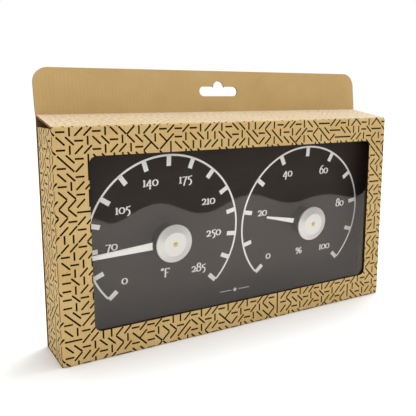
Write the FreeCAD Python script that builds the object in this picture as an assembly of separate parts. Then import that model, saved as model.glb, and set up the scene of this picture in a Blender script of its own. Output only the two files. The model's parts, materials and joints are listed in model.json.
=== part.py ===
import FreeCAD, Part
import math
import os

# Twin-dial thermometer and hygrometer in its windowed hang carton.
# Millimetres. While a piece is modelled, X runs along the carton's front, Y into its depth and
# Z up, from the carton's lower front left corner. Export moves the bottom centre to the origin.

# carton
board = 1.2                  # fluted kraft board
carton_width = 263.0
carton_depth = 36.0
front_height = 144.0
rear_height = 150.0          # the lid rises to the rear
total_height = 179.0         # with the hanging header
header_overhang = 0.3        # the header is this much wider than the carton at each end
header_lean = 3.5            # how far the top of the header leans back
header_corner = 9.5
window_left = 20.7
window_right = 246.7
window_bottom = 18.6
window_top = 126.4
window_corner = 4.8
film_thickness = 0.2
film_border = 6.0            # glued strip round the window
fold_round = 0.9             # outer edge of a folded crease
glue_flap_height = 18.0
glue_flap_end = 14.0         # kept clear of the tuck flaps at each end

# hanging slot, the usual 32 mm display slot
slot_width = 32.0
slot_height = 7.0
slot_bump_width = 9.0
slot_bump_height = 3.8
slot_below_top = 18.0        # lower edge of the slot to the top of the header

# end flaps and what folds inside them
end_depth = 32.0
flap_gap = 0.15              # play between panels that move apart
tuck_length = 11.0
tuck_margin = 8.0
dust_rear = 28.0
dust_front = 8.0
dust_length = 30.0
dust_taper = 6.0

# instrument
plate_width = 247.0
plate_height = 130.0
plate_thickness = 1.5
plate_corner = 3.0
backboard_inset_x = 11.0
backboard_inset_y = 1.0
backboard_thickness = 9.5
lean_angle = 5.7             # degrees, the top leans towards the window
plate_right_gap = 2.8        # from the dial plate's right edge to the carton's end
stand_gap = 0.25             # under the dial plate
dial_spacing = 116.8
dial_height = 65.5           # from the dial plate's lower edge to the pointer axes

# one movement, heights counted from the face of the dial plate
stud_radius = 1.5
stud_end = -9.8
nut_flats = 5.5
nut_height = 2.4
washer_radius = 3.5
washer_height = 0.5
counterbore_radius = 6.5
counterbore_floor = -6.0
cup_radius = 11.0
cup_height = 7.8
cup_wall = 0.6
cup_floor = 0.8
flange_radius = 4.0
flange_height = 1.0
journal_radius = 1.2
journal_play = 0.05
hub_radius = 2.25
hub_bottom = 2.0
hub_top = 9.3
hub_flange_radius = 3.2
hub_flange_height = 0.7
pointer_height = 8.6
pointer_thickness = 0.55
pointer_boss = 5.5
pointer_tail = 10.5
retainer_bottom = 9.45
retainer_height = 0.4
retainer_radius = 2.6
cap_radius = 13.0
cap_sheet = 0.5
cap_rim = 12.3
cap_crown = 13.6
cap_crown_radius = 8.2
cap_lip = 11.1
neck_radius = 0.9
rivet_radius = 1.8
rivet_head = 0.7
rivet_shank_radius = 0.45
rivet_shank = 3.0
coil_pitch = 1.35
coil_turns = 5
coil_bottom = 2.6
coil_width = 4.7
anchor_size = 1.2

# fixings
plate_screw_radius = 1.2
plate_screw_head = 2.0
plate_screw_head_height = 1.2
plate_screw_length = 8.0
plate_screw_margin_x = 17.0
plate_screw_margin_y = 3.8
hanger_length = 40.0
hanger_width = 16.0
hanger_sheet = 1.0
hanger_below_top = 18.0
hanger_screw_spacing = 30.0
hanger_screw_head = 2.6
hanger_recess = 2.2
keyhole_radius = 4.0
keyhole_slot = 4.5
keyhole_rise = 6.0
pocket_depth = 6.5

# what each dial carries: side, pointer length, width at the root, width at the tip, rest angle
# counted anticlockwise from the right as the dial is read, and coil strip thickness
DIALS = {
    "temperature": (-1, 57.0, 5.6, 2.8, 183.3, 0.35),
    "humidity": (1, 41.5, 4.4, 1.5, 168.0, 0.28),
}

axis_x = FreeCAD.Vector(1, 0, 0)
axis_y = FreeCAD.Vector(0, 1, 0)
axis_z = FreeCAD.Vector(0, 0, 1)


def vector(x, y, z=0.0):
    return FreeCAD.Vector(x, y, z)


def box(low, high):
    """Block between two opposite corners."""
    size = [b - a for a, b in zip(low, high)]
    return Part.makeBox(size[0], size[1], size[2], vector(*low))


def disc(radius, bottom, top, inner=0.0, at=(0.0, 0.0)):
    """Upright cylinder, or a ring when inner is given."""
    solid = Part.makeCylinder(radius, top - bottom, vector(at[0], at[1], bottom))
    if inner > 0.0:
        solid = solid.cut(Part.makeCylinder(inner, top - bottom, vector(at[0], at[1], bottom)))
    return solid


def prism(points, direction):
    """Straight-sided outline swept along a vector."""
    outline = Part.makePolygon(points + [points[0]])
    return Part.Face(outline).extrude(direction)


def rounded_plate(left, right, bottom, top, thickness, corner):
    """Upright plate with round corners, from Y = 0 into the depth."""
    plate = box((left, 0, bottom), (right, thickness, top))
    upright = [e for e in plate.Edges if abs(e.tangentAt(e.FirstParameter).y) > 0.99]
    return plate.makeFillet(corner, upright)


def turned(profile):
    """Ring from a half profile of (radius, height) points turned about Z."""
    points = [vector(r, 0, h) for r, h in profile]
    outline = Part.makePolygon(points + [points[0]])
    return Part.Face(outline).revolve(vector(0, 0, 0), axis_z, 360)


# ---------------------------------------------------------------- carton

def front_panel():
    panel = box((0, 0, 0), (carton_width, board, front_height))
    outer = [e for e in panel.Edges if abs(e.CenterOfMass.y) < 1e-6]
    panel = panel.makeFillet(fold_round, outer)
    window = rounded_plate(window_left, window_right, window_bottom, window_top,
                           3 * board, window_corner)
    window.translate(vector(0, -board, 0))
    return panel.cut(window)


def window_film():
    film = rounded_plate(window_left - film_border, window_right + film_border,
                         window_bottom - film_border, window_top + film_border,
                         film_thickness, window_corner)
    film.translate(vector(0, board, 0))
    return film


def bottom_panel():
    return box((0, board, 0), (carton_width, carton_depth - board, board))


def lid_height(y):
    """Upper face of the sloping top panel at depth y."""
    run = carton_depth - 2 * board
    return front_height + (rear_height - front_height) * (y - board) / run


def top_panel():
    near = board
    far = carton_depth - board
    points = [vector(0, near, lid_height(near) - board), vector(0, far, lid_height(far) - board),
              vector(0, far, lid_height(far)), vector(0, near, lid_height(near))]
    return prism(points, vector(carton_width, 0, 0))


def glue_flap():
    near = carton_depth - 2 * board
    top = lid_height(near) - board - 0.05
    return box((glue_flap_end, near, top - glue_flap_height),
               (carton_width - glue_flap_end, carton_depth - board, top))


def back_panel():
    return box((0, carton_depth - board, 0), (carton_width, carton_depth, rear_height))


def slot_cutter():
    """Long round-ended slot with a bump over its middle, cut through the header."""
    middle = carton_width / 2
    low = total_height - slot_below_top
    through = 4 * board
    slot = rounded_plate(middle - slot_width / 2, middle + slot_width / 2,
                         low, low + slot_height, through, slot_height / 2 - 0.01)
    bump_top = low + slot_height + slot_bump_height
    bump = box((middle - slot_bump_width / 2, 0, low + slot_height / 2),
               (middle + slot_bump_width / 2, through, bump_top))
    upper = [e for e in bump.Edges
             if abs(e.tangentAt(e.FirstParameter).y) > 0.99 and e.CenterOfMass.z > bump_top - 0.1]
    bump = bump.makeFillet(slot_bump_width / 2 - 0.4, upper)
    cutter = slot.fuse(bump)
    cutter.translate(vector(0, -1.5 * board, 0))
    return cutter


def hang_header():
    """Plain upper part of the back, bent slightly backwards along the lid's rear crease."""
    below = 3.0
    left = -header_overhang
    right = carton_width + header_overhang
    header = box((left, 0, rear_height - below), (right, board, total_height))
    upper = [e for e in header.Edges
             if abs(e.tangentAt(e.FirstParameter).y) > 0.99 and e.CenterOfMass.z > total_height - 1]
    header = header.makeFillet(header_corner, upper).cut(slot_cutter())
    header.translate(vector(0, carton_depth - board, 0))
    tilt = math.degrees(math.atan2(header_lean, total_height - rear_height))
    header.rotate(vector(0, carton_depth - board, rear_height), axis_x, -tilt)
    waste = box((left - 1, 0, 0), (right + 1, carton_depth + 10, rear_height))
    return header.cut(waste)


def mirrored(shape):
    """The same piece at the other end of the carton."""
    return shape.mirror(vector(carton_width / 2, 0, 0), axis_x)


def end_flap():
    low = board + flap_gap
    high = front_height - board - flap_gap
    return box((0, board + flap_gap, low), (board, end_depth, high))


def tuck_flap():
    """Lip on the end flap's rear edge, tucked in along the back panel."""
    low = board + flap_gap + tuck_margin
    high = front_height - board - flap_gap - tuck_margin
    near = end_depth - board
    x0 = board + 0.05
    lip = box((x0, near, low), (x0 + tuck_length, end_depth, high))
    tip = [e for e in lip.Edges
           if abs(e.tangentAt(e.FirstParameter).y) > 0.99 and e.CenterOfMass.x > x0 + tuck_length / 2]
    return lip.makeFillet(6.0, tip)


def dust_flap():
    """Inner flap on the floor panel; it narrows away from its crease."""
    x0 = board + flap_gap
    root = board + flap_gap
    end = board + dust_length
    points = [vector(x0, dust_front - 4, root), vector(x0, dust_rear, root),
              vector(x0, dust_rear - dust_taper / 2, end), vector(x0, dust_front + dust_taper, end)]
    return prism(points, vector(board, 0, 0))


# ------------------------------------------------------------ instrument
# These pieces are modelled in the dial plate's own frame: X right, Y up from the plate's
# lower edge, Z out of its face towards the reader. stand() leans them in the carton.

def backboard():
    half = plate_width / 2 - backboard_inset_x
    back = -plate_thickness - backboard_thickness
    board_solid = box((-half, backboard_inset_y, back),
                      (half, plate_height - backboard_inset_y, -plate_thickness))
    upright = [e for e in board_solid.Edges if abs(e.tangentAt(e.FirstParameter).z) > 0.99]
    board_solid = board_solid.makeFillet(plate_corner, upright)
    for x, y in dial_centres():
        board_solid = board_solid.cut(disc(stud_radius + 0.1, back, 0, at=(x, y)))
        board_solid = board_solid.cut(disc(counterbore_radius, back, counterbore_floor, at=(x, y)))
    for x, y in plate_screw_places():
        board_solid = board_solid.cut(disc(plate_screw_radius, -plate_screw_length, 0, at=(x, y)))
    y = hanger_y()
    half_length = hanger_length / 2 + 0.5
    half_width = hanger_width / 2 + 0.5
    board_solid = board_solid.cut(box((-half_length, y - half_width, back),
                                      (half_length, y + half_width, back + hanger_recess)))
    board_solid = board_solid.cut(box((-6, y - 6.5, back), (6, y + 6.5, back + pocket_depth)))
    for x in hanger_screw_x():
        board_solid = board_solid.cut(disc(1.3, back, back + hanger_recess + 4.5, at=(x, y)))
    return board_solid


def dial_plate():
    half = plate_width / 2
    plate = box((-half, 0, -plate_thickness), (half, plate_height, 0))
    upright = [e for e in plate.Edges if abs(e.tangentAt(e.FirstParameter).z) > 0.99]
    plate = plate.makeFillet(plate_corner, upright)
    for x, y in dial_centres():
        plate = plate.cut(disc(stud_radius + 0.1, -plate_thickness, 0, at=(x, y)))
    for x, y in plate_screw_places():
        plate = plate.cut(disc(plate_screw_radius, -plate_thickness, 0, at=(x, y)))
    return plate


def dial_centres():
    return [(side * dial_spacing / 2, dial_height) for side in (-1, 1)]


def plate_screw_places():
    x = plate_width / 2 - plate_screw_margin_x
    y = plate_screw_margin_y
    return [(sx * x, yy) for sx in (-1, 1) for yy in (y, plate_height - y)]


def dial_plate_screws():
    screws = []
    for x, y in plate_screw_places():
        head = disc(plate_screw_head, 0, plate_screw_head_height, at=(x, y))
        rim = [e for e in head.Edges if e.CenterOfMass.z > plate_screw_head_height - 0.01
               and e.Length > plate_screw_head]
        head = head.makeFillet(0.6, rim[:1])
        head = head.cut(box((x - 0.3, y - 1.6, 0.6), (x + 0.3, y + 1.6, 2)))
        shank = disc(plate_screw_radius, -plate_screw_length, 0, at=(x, y))
        screws.append(head.fuse(shank).removeSplitter())
    return Part.makeCompound(screws)


def hanger_y():
    return plate_height - hanger_below_top


def hanger_screw_x():
    return [-hanger_screw_spacing / 2, hanger_screw_spacing / 2]


def hanger_plate():
    """Steel plate with a keyhole: the wall screw's head goes in low and locks above."""
    low = -plate_thickness - backboard_thickness + hanger_recess - hanger_sheet
    y = hanger_y()
    plate = box((-hanger_length / 2, y - hanger_width / 2, low),
                (hanger_length / 2, y + hanger_width / 2, low + hanger_sheet))
    top = low + hanger_sheet
    entry = disc(keyhole_radius, low, top, at=(0, y - 2))
    slot = box((-keyhole_slot / 2, y - 2, low), (keyhole_slot / 2, y - 2 + keyhole_rise, top))
    end = disc(keyhole_slot / 2, low, top, at=(0, y - 2 + keyhole_rise))
    plate = plate.cut(entry).cut(slot).cut(end)
    for x in hanger_screw_x():
        plate = plate.cut(disc(1.3, low, top, at=(x, y)))
    return plate


def hanger_screws():
    back = -plate_thickness - backboard_thickness
    seat = back + hanger_recess - hanger_sheet
    screws = []
    for x in hanger_screw_x():
        head = disc(hanger_screw_head, seat - 1.1, seat, at=(x, hanger_y()))
        shank = disc(1.3, seat, back + hanger_recess + 4.5, at=(x, hanger_y()))
        screws.append(head.fuse(shank).removeSplitter())
    return Part.makeCompound(screws)


# ---------------------------------------------------------- one movement
# Modelled about the Z axis, with Z = 0 on the face of the dial plate.

def stud():
    """Brass centre stud: threaded rear end, flange, journal and a neck for the cap."""
    seat = cup_floor + flange_height
    crown_under = cap_crown - cap_sheet
    body = disc(stud_radius, stud_end, cup_floor)
    body = body.fuse(disc(flange_radius, cup_floor, seat))
    body = body.fuse(disc(journal_radius, seat, crown_under))
    body = body.fuse(disc(neck_radius, crown_under, cap_crown))
    bore = disc(rivet_shank_radius, cap_crown - rivet_shank, cap_crown)
    return body.removeSplitter().cut(bore)


def stud_washer():
    return disc(washer_radius, counterbore_floor - washer_height, counterbore_floor, stud_radius)


def stud_nut():
    top = counterbore_floor - washer_height
    corner = nut_flats / math.sqrt(3)
    points = [vector(corner * math.cos(math.radians(60 * i)), corner * math.sin(math.radians(60 * i)),
                     top - nut_height) for i in range(6)]
    nut = prism(points, vector(0, 0, nut_height))
    return nut.cut(disc(stud_radius, top - nut_height, top))


def movement_cup():
    """Open drum on the dial that guards the coil; the stud's flange clamps its floor."""
    inner = cup_radius - cup_wall
    return turned([(stud_radius, 0), (cup_radius, 0), (cup_radius, cup_height),
                   (inner, cup_height), (inner, cup_floor), (stud_radius, cup_floor)])


def coil(strip):
    """Flat spiral of half turns about two centres; its inner end lies against the hub."""
    half_turn = None
    radius = hub_radius + 0.08
    top = coil_bottom + coil_width
    for step in range(2 * coil_turns):
        shift = 0.0 if step % 2 == 0 else coil_pitch / 2
        ring = disc(radius + strip, coil_bottom, top, radius, at=(shift, 0))
        reach = 2 * cup_radius
        side = 0 if step % 2 == 0 else -reach
        keep = box((-reach, side, 0), (reach, side + reach, cup_height + 5))
        piece = ring.common(keep)
        half_turn = piece if half_turn is None else half_turn.fuse(piece)
        radius += coil_pitch / 2
    return half_turn.removeSplitter()


def coil_end_radius():
    """Where the coil's outer end crosses the X axis."""
    return hub_radius + 0.08 + (2 * coil_turns - 1) * coil_pitch / 2 + coil_pitch / 2


def coil_anchor(strip):
    """Post on the cup's floor that holds the coil's outer end."""
    start = coil_end_radius() + strip + 0.02
    end = min(start + anchor_size, cup_radius - cup_wall - 0.1)
    return box((start, -anchor_size / 2, cup_floor), (end, anchor_size / 2, cup_height - 1.0))


def pointer_hub():
    """Brass sleeve that turns on the stud and carries the pointer on its flange."""
    bore = journal_radius + journal_play
    return turned([(bore, hub_bottom), (hub_radius, hub_bottom), (hub_radius, pointer_height - hub_flange_height),
                   (hub_flange_radius, pointer_height - hub_flange_height), (hub_flange_radius, pointer_height),
                   (hub_radius, pointer_height), (hub_radius, hub_top), (bore, hub_top)])


def pointer(length, root_width, tip_width, angle):
    root = pointer_boss - 1.0
    points = [vector(root, -root_width / 2, pointer_height), vector(length, -tip_width / 2, pointer_height),
              vector(length, tip_width / 2, pointer_height), vector(root, root_width / 2, pointer_height)]
    up = vector(0, 0, pointer_thickness)
    blade = prism(points, up)
    tail_points = [vector(-pointer_tail, -2.6, pointer_height), vector(-root, -1.8, pointer_height),
                   vector(-root, 1.8, pointer_height), vector(-pointer_tail, 2.6, pointer_height)]
    tail = prism(tail_points, up)
    boss = disc(pointer_boss, pointer_height, pointer_height + pointer_thickness)
    body = blade.fuse(tail).fuse(boss)
    body = body.cut(disc(hub_radius, pointer_height, pointer_height + pointer_thickness))
    body = body.removeSplitter()
    body.rotate(vector(0, 0, 0), axis_z, angle)
    return body


def retainer():
    return disc(retainer_radius, retainer_bottom, retainer_bottom + retainer_height, journal_radius)


def cap():
    """Shallow turned cap over the pointer's boss, pressed on the stud's neck."""
    inner_crown = cap_crown_radius - 0.2
    return turned([(neck_radius, cap_crown - cap_sheet), (inner_crown, cap_crown - cap_sheet),
                   (cap_radius - cap_sheet, cap_rim - cap_sheet), (cap_radius - cap_sheet, cap_lip),
                   (cap_radius, cap_lip), (cap_radius, cap_rim), (cap_crown_radius, cap_crown),
                   (neck_radius, cap_crown)])


def cap_rivet():
    """Brass rivet with a low domed head that closes the stud."""
    head_sphere = (rivet_radius ** 2 + rivet_head ** 2) / (2 * rivet_head)
    ball = Part.makeSphere(head_sphere, vector(0, 0, cap_crown + rivet_head - head_sphere))
    head = ball.common(disc(rivet_radius + 1, cap_crown, cap_crown + 2 * rivet_head))
    shank = disc(rivet_shank_radius, cap_crown - rivet_shank, cap_crown)
    return head.fuse(shank).removeSplitter()


def movement(name):
    """All pieces of one movement, at its place on the dial plate."""
    side, length, root_width, tip_width, angle, strip = DIALS[name]
    pieces = {
        name + "_stud": stud(),
        name + "_stud_washer": stud_washer(),
        name + "_stud_nut": stud_nut(),
        name + "_movement_cup": movement_cup(),
        name + "_coil": coil(strip),
        name + "_coil_anchor": coil_anchor(strip),
        name + "_pointer_hub": pointer_hub(),
        name + "_pointer": pointer(length, root_width, tip_width, angle),
        name + "_retainer": retainer(),
        name + "_cap": cap(),
        name + "_cap_rivet": cap_rivet(),
    }
    place = vector(side * dial_spacing / 2, dial_height, 0)
    for piece in pieces.values():
        piece.translate(place)
    return pieces


# --------------------------------------------------------------- assembly

def stand(piece):
    """Lean a piece of the instrument and set it in the carton."""
    depth = plate_thickness + backboard_thickness
    lean = math.radians(lean_angle)
    foot_y = carton_depth - board - 0.3 - depth * math.cos(lean)
    middle_x = carton_width - plate_right_gap - plate_width / 2
    piece.rotate(vector(0, 0, 0), axis_x, 90 + lean_angle)
    piece.translate(vector(middle_x, foot_y, board + stand_gap))
    return piece


def carton_pieces():
    return {
        "front_panel": front_panel(),
        "window_film": window_film(),
        "bottom_panel": bottom_panel(),
        "top_panel": top_panel(),
        "glue_flap": glue_flap(),
        "back_panel": back_panel(),
        "hang_header": hang_header(),
        "left_end_flap": end_flap(),
        "left_tuck_flap": tuck_flap(),
        "left_dust_flap": dust_flap(),
        "right_end_flap": mirrored(end_flap()),
        "right_tuck_flap": mirrored(tuck_flap()),
        "right_dust_flap": mirrored(dust_flap()),
    }


def instrument_pieces():
    pieces = {
        "backboard": backboard(),
        "dial_plate": dial_plate(),
        "dial_plate_screws": dial_plate_screws(),
        "hanger_plate": hanger_plate(),
        "hanger_screws": hanger_screws(),
    }
    for name in DIALS:
        pieces.update(movement(name))
    return {name: stand(piece) for name, piece in pieces.items()}


def main():
    os.makedirs("parts", exist_ok=True)
    pieces = {**carton_pieces(), **instrument_pieces()}
    # the leaning header is the rearmost piece, so it sets the middle of the whole depth
    rear = pieces["hang_header"].BoundBox.YMax
    origin = vector(carton_width / 2, rear / 2, 0)
    for name, piece in pieces.items():
        piece.translate(origin.negative())
        piece.exportStep("parts/" + name + ".step")
        print(name, len(piece.Solids), "valid", piece.isValid(), "volume", round(piece.Volume, 2))


main()
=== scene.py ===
import bmesh
import bpy
import json
import math
from mathutils import Matrix, Vector
from mathutils.geometry import delaunay_2d_cdt


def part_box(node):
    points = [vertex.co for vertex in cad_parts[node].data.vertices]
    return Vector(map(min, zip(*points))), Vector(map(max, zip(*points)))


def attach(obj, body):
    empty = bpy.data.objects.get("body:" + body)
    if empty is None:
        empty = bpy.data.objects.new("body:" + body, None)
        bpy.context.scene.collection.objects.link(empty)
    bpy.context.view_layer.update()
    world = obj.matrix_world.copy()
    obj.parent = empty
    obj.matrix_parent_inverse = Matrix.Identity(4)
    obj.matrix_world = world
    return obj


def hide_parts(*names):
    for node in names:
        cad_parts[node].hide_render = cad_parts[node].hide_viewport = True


# Looks of the twin-dial thermometer and hygrometer in its windowed hang carton.
# Metres, in the part's own frame: X along the carton's front, Y into its depth, Z up.

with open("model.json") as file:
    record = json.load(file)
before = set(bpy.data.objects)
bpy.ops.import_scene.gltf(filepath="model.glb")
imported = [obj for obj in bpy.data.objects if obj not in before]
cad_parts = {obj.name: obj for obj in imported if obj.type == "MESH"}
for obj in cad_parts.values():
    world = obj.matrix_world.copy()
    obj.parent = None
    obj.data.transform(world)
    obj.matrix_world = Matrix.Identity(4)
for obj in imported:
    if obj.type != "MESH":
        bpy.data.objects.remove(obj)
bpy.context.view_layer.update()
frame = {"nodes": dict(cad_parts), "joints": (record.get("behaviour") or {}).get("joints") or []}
mm = 0.001

# ---- places taken from the frame

front_low, front_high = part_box("front_panel")
floor_low, floor_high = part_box("bottom_panel")
lid_low, lid_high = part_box("top_panel")
back_low, back_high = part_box("back_panel")
header_low, header_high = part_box("hang_header")
film_low, film_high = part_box("window_film")
joints = {joint["name"]: joint for joint in frame["joints"]}

board = front_high.y - front_low.y

# ---- sizes

# carton, mm
FILM_BORDER = 6.0            # strip of film glued behind the window's edge
WINDOW_CORNER = 4.8
FOLD = 1.2                   # outside radius of a folded crease
CARTON_CORNER = 0.9          # where three panels meet
HEADER_CORNER = 9.5
SLOT_WIDTH = 32.0
SLOT_HEIGHT = 7.0
SLOT_BUMP_WIDTH = 9.0
SLOT_BUMP_HEIGHT = 3.8
SLOT_BELOW_TOP = 18.0
FILM_SHEET = 0.2
FILM_WAVE = 0.42             # how far the film bows in and out
FILM_REACH = 16.0            # the bow fades out over this far from the glued border
FILM_MIRROR = 0.028          # share of light that each face of the film mirrors head on

# waves of the film: places in metres, turns in radians per metre, heights as shares
FILM_BULGE = 0.9
WAVE_CENTRE = (-0.067, 0.088)
WAVE_ACROSS = 88
WAVE_UP = 45
WAVE_HEIGHT = 0.75           # at the carton's middle
WAVE_FALL = 4.2              # lost per metre towards the right
WAVE_LEAST = 0.1
WAVE_ROLL = 9                # one long roll, growing per metre right of the middle
RIPPLE_HEIGHT = 0.35
RIPPLE_ACROSS = 41
RIPPLE_UP = 18
RIPPLE_START = 1.1

# printed dashes, mm
PITCH_ACROSS = 5.35
PITCH_UP = 5.2
DASH_WIDTH = 1.12
DASH_FLAT = 5.5
DASH_UPRIGHT = 5.3
DASH_SLANT = 7.0
DASH_LONG = 13.4
DASH_SOFT = 0.10             # how far the ink bleeds at an edge
DASH_START = (1.3, 2.1)      # where the grid of cells starts on the blank
ODD_SLANTING = 0.13          # share of cells that break the order of slanting and straight
ODD_STAND = 0.2              # share of straight cells turned the other way
ODD_LEAN = 0.14              # share of slanting pairs that lean the other way
LONG_FALLING = 0.09          # share of blocks with one long dash each way
LONG_RISING = 0.035
FLUTE_PITCH = 2.4

# dial print, mm and degrees
PRINT_RISE = 1.2             # centre of the printed scale above the pointer's axis
ARC_RADIUS = 55.7
ARC_WIDTH = 1.35
TICK_LENGTH = 7.9
TICK_WIDTH = 3.2
ARC_START = 222.5
ARC_SWEEP = 265.0
INK = 0.05
X_HEIGHT = 4.5
ORNAMENT_DROP = 49.3
ORNAMENT_RULE = (3.2, 13.0, 0.2)     # inner end, outer end and half thickness of each rule
ORNAMENT_DIAMOND = 1.8               # half its width

# movement, mm above the face of the dial plate
POINTER_HEIGHT = 8.6
POINTER_SHEET = 0.55
POINTER_BOSS = 5.5           # radius of the round part
POINTER_BORE = 2.25
POINTER_TAIL = (10.5, 1.9, 2.6)  # length, half width at the boss and at the end
POINTER_EASED = 0.12
CAP_RADIUS = 13.0
CAP_LIP = 11.1
CAP_RIM = 12.3
CAP_CROWN = 13.6
CAP_CROWN_RADIUS = 8.2
CAP_SHEET = 0.5
RIVET_RADIUS = 1.8
RIVET_HEAD = 0.7

# pointer's length, width at the root, width at the tip and rest angle, number of ticks, and where
# the pointer's white paint starts; the black left between the cap's rim and it is painted shadow of the cap
DIALS = {
    "temperature": (57.0, 5.6, 2.8, 183.3, 15, 14.4),
    "humidity": (41.5, 4.4, 1.5, 168.0, 11, 16.0),
}

# figures of each scale, one at every second tick, and the sign under its pointer
LABELS = {
    "temperature": (("0", "70", "105", "140", "175", "210", "250", "285"), "oF"),
    "humidity": (("0", "20", "40", "60", "80", "100"), "%"),
}
LABEL_CIRCLE = 43.5          # the outermost corner of every figure touches this circle, mm
LABEL_RISE = 0.8             # and is raised by this, since most figures hang below their line, mm
LABEL_FOOT = 27.2            # first and last figures and the sign: their middles below the centre, mm

# ---- camera

# place in metres, angles in degrees, lens and sensor in mm, shift in sensor widths
CAMERA_PLACE = Vector((-0.21252, -0.32849, 0.15818))
CAMERA_AZIMUTH = 29.491
CAMERA_DOWN = 9.379
CAMERA_ROLL = -0.3066
CAMERA_LENS = 47.82
CAMERA_SENSOR = 36
CAMERA_SHIFT = (0.02296, -0.03983)


def make_camera():
    azimuth = math.radians(CAMERA_AZIMUTH)
    down = math.radians(CAMERA_DOWN)
    roll = math.radians(CAMERA_ROLL)
    level = math.cos(down)
    ahead = Vector((math.sin(azimuth) * level, math.cos(azimuth) * level, -math.sin(down)))
    right = Vector((math.cos(azimuth), -math.sin(azimuth), 0))
    up = right.cross(ahead)
    turned_right = right * math.cos(roll) + up * math.sin(roll)
    turned_up = up * math.cos(roll) - right * math.sin(roll)
    data = bpy.data.cameras.new("camera")
    data.sensor_width = CAMERA_SENSOR
    data.lens = CAMERA_LENS
    data.shift_x, data.shift_y = CAMERA_SHIFT
    data.clip_start = 0.01
    data.clip_end = 20
    camera = bpy.data.objects.new("camera", data)
    bpy.context.scene.collection.objects.link(camera)
    camera.matrix_world = Matrix((
        (turned_right.x, turned_up.x, -ahead.x, CAMERA_PLACE.x),
        (turned_right.y, turned_up.y, -ahead.y, CAMERA_PLACE.y),
        (turned_right.z, turned_up.z, -ahead.z, CAMERA_PLACE.z),
        (0, 0, 0, 1),
    ))
    bpy.context.scene.camera = camera


# ---- shader expressions

class Wire:
    """An output socket; arithmetic on it adds Math nodes."""

    def __init__(self, finish, socket):
        self.finish = finish
        self.socket = socket

    def math(self, operation, *others, clamp=False):
        values = dict(enumerate((self,) + others))
        return self.finish.node("ShaderNodeMath", {"operation": operation, "use_clamp": clamp}, values)

    def __add__(self, other):
        return self.math("ADD", other)

    __radd__ = __add__

    def __sub__(self, other):
        return self.math("SUBTRACT", other)

    def __rsub__(self, other):
        return self.finish.node("ShaderNodeMath", {"operation": "SUBTRACT"}, {0: other, 1: self})

    def __mul__(self, other):
        return self.math("MULTIPLY", other)

    __rmul__ = __mul__

    def __truediv__(self, other):
        return self.math("DIVIDE", other)

    def __lt__(self, other):
        return self.math("LESS_THAN", other)

    def __gt__(self, other):
        return self.math("GREATER_THAN", other)

    def __abs__(self):
        return self.math("ABSOLUTE")

    def floor(self):
        return self.math("FLOOR")

    def sine(self):
        return self.math("SINE")

    def power(self, other):
        return self.math("POWER", other)

    def most(self, other):
        return self.math("MAXIMUM", other)

    def clamped(self):
        return self.math("ADD", 0.0, clamp=True)


class Finish:
    """One material, with its Principled shader, and the ways to add nodes to it."""

    def __init__(self, name, **sockets):
        self.material = bpy.data.materials.new(name)
        self.material.use_nodes = True
        self.tree = self.material.node_tree
        self.tree.nodes.clear()
        self.output = self.tree.nodes.new("ShaderNodeOutputMaterial")
        self.shader = self.tree.nodes.new("ShaderNodeBsdfPrincipled")
        self.tree.links.new(self.shader.outputs[0], self.output.inputs[0])
        for socket, value in sockets.items():
            self.shader.inputs[socket.replace("_", " ")].default_value = value

    def node(self, kind, settings=None, values=None, output=0):
        """Adds a node: its settings first, then values or links for its sockets."""
        made = self.tree.nodes.new(kind)
        for key, value in (settings or {}).items():
            if key == "stops":
                self.set_stops(made.color_ramp, value)
            else:
                setattr(made, key, value)
        for key, value in (values or {}).items():
            self.feed(made.inputs[key], value)
        return Wire(self, made.outputs[output])

    def set_stops(self, ramp, stops):
        while len(ramp.elements) < len(stops):
            ramp.elements.new(1.0)
        for element, (place, colour) in zip(ramp.elements, stops):
            element.position = place
            element.color = colour

    def feed(self, socket, value):
        if isinstance(value, Wire):
            self.tree.links.new(value.socket, socket)
        else:
            socket.default_value = value

    def surface(self, **sockets):
        """Links what varies over the surface to the shader's own sockets."""
        for socket, value in sockets.items():
            self.feed(self.shader.inputs[socket.replace("_", " ")], value)

    def skinned(self, colour, rough, height, strength, distance):
        """Links colour, roughness and bump, and hands over the material."""
        self.surface(Base_Color=colour, Roughness=rough, Normal=self.bump(height, strength, distance))
        return self.material

    def parts(self, vector):
        """The three numbers of a vector, in millimetres."""
        split = [self.node("ShaderNodeSeparateXYZ", None, {0: vector}, axis) for axis in range(3)]
        return [number * 1000.0 for number in split]

    def object_place(self):
        return self.node("ShaderNodeTexCoord", output=3)

    def blank_place(self):
        """Place on the flat carton blank: across, up, and depth into the board."""
        return self.node("ShaderNodeAttribute", {"attribute_name": "blank"}, output=1)

    def scaled(self, place, x, y, z):
        return self.node("ShaderNodeVectorMath", {"operation": "MULTIPLY"}, {0: place, 1: (x, y, z)})

    def joined(self, x, y, z):
        return self.node("ShaderNodeCombineXYZ", None, {0: x, 1: y, 2: z})

    def noise(self, place, scale, detail=3.0, roughness=0.5):
        values = {"Vector": place, "Scale": scale, "Detail": detail, "Roughness": roughness}
        return self.node("ShaderNodeTexNoise", None, values)

    def chance(self, x, y, seed):
        """A fixed random number from 0 to 1 for each pair of whole numbers."""
        return self.node("ShaderNodeTexWhiteNoise", None, {"Vector": self.joined(x, y, seed)})

    def blend(self, factor, one, two):
        """Colour one where factor is 0, colour two where it is 1."""
        return self.node("ShaderNodeMix", {"data_type": "RGBA"}, {0: factor, 6: one, 7: two}, 2)

    def bump(self, height, strength, distance):
        values = {"Height": height, "Strength": strength, "Distance": distance}
        return self.node("ShaderNodeBump", None, values)


def shade(red, green, blue):
    """A colour written as it shows on a screen, 0 to 255, for a socket."""
    return tuple((v / 255.0) ** 2.2 for v in (red, green, blue)) + (1.0,)


# ---- materials of the carton

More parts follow.
